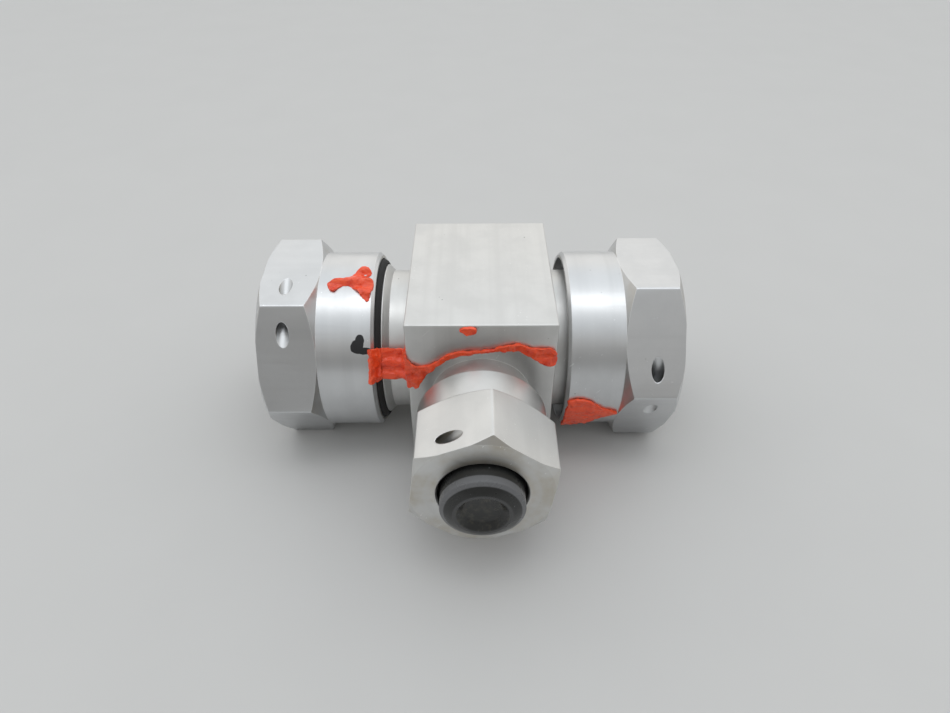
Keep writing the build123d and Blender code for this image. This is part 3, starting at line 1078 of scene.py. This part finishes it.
def lacquer():
    """Glossy dried lacquer with pulled strands, thicker and deeper in places."""
    found = bpy.data.materials.get("torque_lacquer")
    if found:
        return found
    material, tree, shader, coordinates = new_material("torque_lacquer")
    base = tuple(settings().colours.lacquer)
    deep = (base[0] * 0.80, base[1] * 0.55, base[2] * 0.6)
    pale = (min(1.0, base[0] * 1.05), base[1] * 1.35, base[2] * 1.6)
    clouds = noise(tree, coordinates, 420, 3.0, 0.6)
    strands = noise(tree, stretched(tree, coordinates, (260, 1500, 1500)), 1.0, 2.0)
    flecks = noise(tree, coordinates, 2600, 2.0, 0.6)
    shown = mixed(tree, stepped(tree, clouds, 0.3, 0.55), deep, base)
    shown = mixed(tree, stepped(tree, strands, 0.56, 0.72), shown, pale)
    shader.inputs["Coat Roughness"].default_value = 0.15
    shader.inputs["Coat Weight"].default_value = 0.2
    normal = bump(tree, strands, 0.9, 0.16 * MM)
    tree.links.new(shown, shader.inputs["Base Color"])
    tree.links.new(stepped(tree, flecks, 0.3, 0.7, 0.26, 0.42), shader.inputs["Roughness"])
    tree.links.new(bump(tree, flecks, 0.3, 0.02 * MM, normal), shader.inputs["Normal"])
    return material


def floor_material():
    material, tree, shader, coordinates = new_material("pale_floor")
    base = tuple(settings().colours.floor)
    mottle = noise(tree, coordinates, 45, 4.0)
    tree.links.new(mixed(tree, mottle, base, tuple(0.96 * value for value in base)),
                   shader.inputs["Base Color"])
    shader.inputs["Roughness"].default_value = 0.85
    return material


class MESH_OT_tee_body(Operator):
    """Models the block with its three threaded tube ends"""

    bl_idname = "mesh.tee_body"
    bl_label = "Body"

    def execute(self, context):
        piece = block()
        piece.name = "tee_block"
        for side in SIDES:
            end = tube_end(Port(side))
            place(end, side)
            combine(piece, end, "UNION")
        for side in ("right", "branch"):
            bore = passage(Port(side), side == "right")
            place(bore, side)
            combine(piece, bore, "DIFFERENCE")
        material = aluminium("milled_aluminium", roughness=0.42)
        finish_piece(piece, material, "tee", "tee_body")
        return {"FINISHED"}


class MESH_OT_tee_nuts(Operator):
    """Models the three union nuts with their skirts and wire holes"""

    bl_idname = "mesh.tee_nuts"
    bl_label = "Nuts"

    def execute(self, context):
        turns = settings().turns
        for side in SIDES:
            piece = nut(Port(side))
            piece.name = side + "_union_nut"
            place(piece, side, getattr(turns, side))
            finish_piece(piece, self.finish(side), side + "_nut", side + "_nut")
        return {"FINISHED"}

    def finish(self, side):
        port = Port(side)
        start = port.skirt_end + port.sizes.skirt_length
        if side == "branch":
            return aluminium("branch_nut_aluminium", roughness=0.34, axis=1, hex_start=start)
        ink = [self.blot(*blot) for blot in INK_BLOTS] if side == "left" else ()
        return aluminium(side + "_nut_aluminium", roughness=0.32, axis=0, hex_start=start,
                         tint=(0.975, 0.99, 1.02), ink=ink)

    def blot(self, station, angle, along, across):
        """Centre and reach of a blot on the skirt, at degrees from the top."""
        radius = settings().run.skirt_radius
        place = (station * MM, -radius * sin(radians(angle)), radius * cos(radians(angle)))
        return place, (along * MM, across * MM)


class MESH_OT_tee_plugs(Operator):
    """Models the three blanking plugs"""

    bl_idname = "mesh.tee_plugs"
    bl_label = "Plugs"

    def execute(self, context):
        for side in SIDES:
            piece = plug(Port(side))
            piece.name = side + "_blanking_plug"
            place(piece, side)
            finish_piece(piece, self.finish(side), side + "_closure", side + "_plug")
        return {"FINISHED"}

    def finish(self, side):
        port = Port(side)
        axis = 1 if side == "branch" else 0
        rim = port.sizes.nose_radius - settings().shared.rim_width / 2
        # Start of the painted highlight band round the plug's end
        band = port.nut_end + port.sizes.stand_out - HIGHLIGHT_BAND_LENGTH
        return dark_plastic(side + "_plug_plastic", axis, rim, band)


class MESH_OT_tee_rings(Operator):
    """Models the rings under the skirts and on the plugs' spigots"""

    bl_idname = "mesh.tee_rings"
    bl_label = "Seal rings"

    def execute(self, context):
        for side in SIDES:
            outer = skirt_ring(Port(side))
            outer.name = side + "_skirt_seal"
            place(outer, side)
            finish_piece(outer, rubber(), "tee", side + "_skirt_ring")
            inner = plug_ring(Port(side))
            inner.name = side + "_spigot_seal"
            place(inner, side)
            finish_piece(inner, rubber(), side + "_closure", side + "_plug_ring")
        return {"FINISHED"}


class MESH_OT_tee_lacquer(Operator):
    """Models the torque lacquer on the block, the neck and the run nuts"""

    bl_idname = "mesh.tee_lacquer"
    bl_label = "Lacquer"

    def execute(self, context):
        films = {
            "bridge_lacquer": "tee", "edge_lacquer": "tee",
            "bridge_end_lacquer": "left_nut", "left_nut_lacquer": "left_nut",
            "right_nut_lacquer": "right_nut",
        }
        for node, body in films.items():
            film = lacquer_film(node, Port("right" if node.startswith("right") else "left"))
            finish_piece(film, lacquer(), body, node)
        return {"FINISHED"}


class SCENE_OT_tee_stage(Operator):
    """Sets up the floor, the light and the camera"""

    bl_idname = "scene.tee_stage"
    bl_label = "Stage"

    def execute(self, context):
        self.floor()
        self.sky(context.scene)
        self.lamp()
        self.camera(context.scene)
        context.scene.view_settings.view_transform = "Standard"
        return {"FINISHED"}

    def floor(self):
        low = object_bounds()[0]
        start_piece()
        bpy.ops.mesh.primitive_plane_add(size=FLOOR_SIZE, location=(0, 0, low[2]))
        floor = bpy.context.object
        floor.name = "floor"
        floor.data.materials.append(floor_material())
        floor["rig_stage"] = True

    def sky(self, scene):
        """Soft room light, from overhead and behind the object, dim in front of it."""
        world = bpy.data.worlds.new("room")
        scene.world = world
        world.use_nodes = True
        tree = world.node_tree
        direction = add_node(tree, "ShaderNodeTexCoord").outputs["Generated"]
        parts = add_node(tree, "ShaderNodeSeparateXYZ")
        tree.links.new(direction, parts.inputs[0])
        behind = math_node(tree, "MULTIPLY", parts.outputs["Y"], 0.7)
        height = math_node(tree, "ADD", parts.outputs["Z"], behind)
        level = stepped(tree, height, low=-0.9, high=1.1, out_low=0.18, out_high=1.13)
        high = stepped(tree, parts.outputs["Z"], low=0.5, high=0.75)
        background = tree.nodes["Background"]
        shade = mixed(tree, high, (1.0, 0.985, 0.955), (0.94, 0.975, 1.0))
        tree.links.new(shade, background.inputs["Color"])
        tree.links.new(level, background.inputs["Strength"])

    def lamp(self):
        """One soft lamp over the object, turned to the crossing of the axes."""
        bpy.ops.object.light_add(type="AREA", location=LAMP_PLACE)
        lamp = bpy.context.object
        lamp.name = "overhead"
        lamp.data.shape = "RECTANGLE"
        lamp.data.size, lamp.data.size_y = LAMP_SIZE
        lamp.data.energy = LAMP_POWER
        lamp.rotation_euler = (-Vector(LAMP_PLACE)).to_track_quat("-Z", "Y").to_euler()

    def camera(self, scene):
        """Camera at the photograph's place."""
        pitch, yaw, roll = CAMERA_PITCH, CAMERA_YAW, CAMERA_ROLL
        ahead = Vector((sin(yaw) * cos(pitch), cos(yaw) * cos(pitch), -sin(pitch)))
        across = Vector((cos(yaw), -sin(yaw), 0))
        upward = across.cross(ahead)
        right = across * cos(roll) + upward * sin(roll)
        top = upward * cos(roll) - across * sin(roll)
        bpy.ops.object.camera_add()
        camera = bpy.context.object
        camera.name = "camera"
        turn = Matrix((right, top, -ahead)).transposed().to_4x4()
        camera.matrix_world = Matrix.Translation(CAMERA_PLACE) @ turn
        camera.data.sensor_width = SENSOR_WIDTH
        camera.data.lens = FOCAL_LENGTH
        camera.data.clip_start = CLIP_START
        scene.camera = camera


class VIEW3D_PT_tee_fitting(Panel):
    """Lists the fitting's pieces and their sizes"""

    bl_label = "Tee fitting"
    bl_space_type = "VIEW_3D"
    bl_region_type = "UI"
    bl_category = "Tee fitting"

    def draw(self, context):
        chosen = context.scene.tee_fitting
        for operator in OPERATORS:
            self.layout.operator(operator.bl_idname)
        for group in (chosen.run, chosen.branch, chosen.shared, chosen.turns, chosen.colours):
            box = self.layout.box()
            for name in group.__annotations__:
                box.prop(group, name)


OPERATORS = (
    MESH_OT_tee_body, MESH_OT_tee_nuts, MESH_OT_tee_plugs, MESH_OT_tee_rings,
    MESH_OT_tee_lacquer, SCENE_OT_tee_stage,
)
GROUPS = (RunSizes, BranchSizes, SharedSizes, NutTurns, FinishColours, FittingSettings)


def register():
    for group in GROUPS + OPERATORS + (VIEW3D_PT_tee_fitting,):
        bpy.utils.register_class(group)
    bpy.types.Scene.tee_fitting = PointerProperty(type=FittingSettings)


def unregister():
    del bpy.types.Scene.tee_fitting
    for group in reversed(GROUPS + OPERATORS + (VIEW3D_PT_tee_fitting,)):
        bpy.utils.unregister_class(group)


def main():
    register()
    bpy.ops.mesh.tee_body()
    bpy.ops.mesh.tee_nuts()
    bpy.ops.mesh.tee_plugs()
    bpy.ops.mesh.tee_rings()
    bpy.ops.mesh.tee_lacquer()
    bpy.ops.scene.tee_stage()


if __name__ == "__main__":
    main()
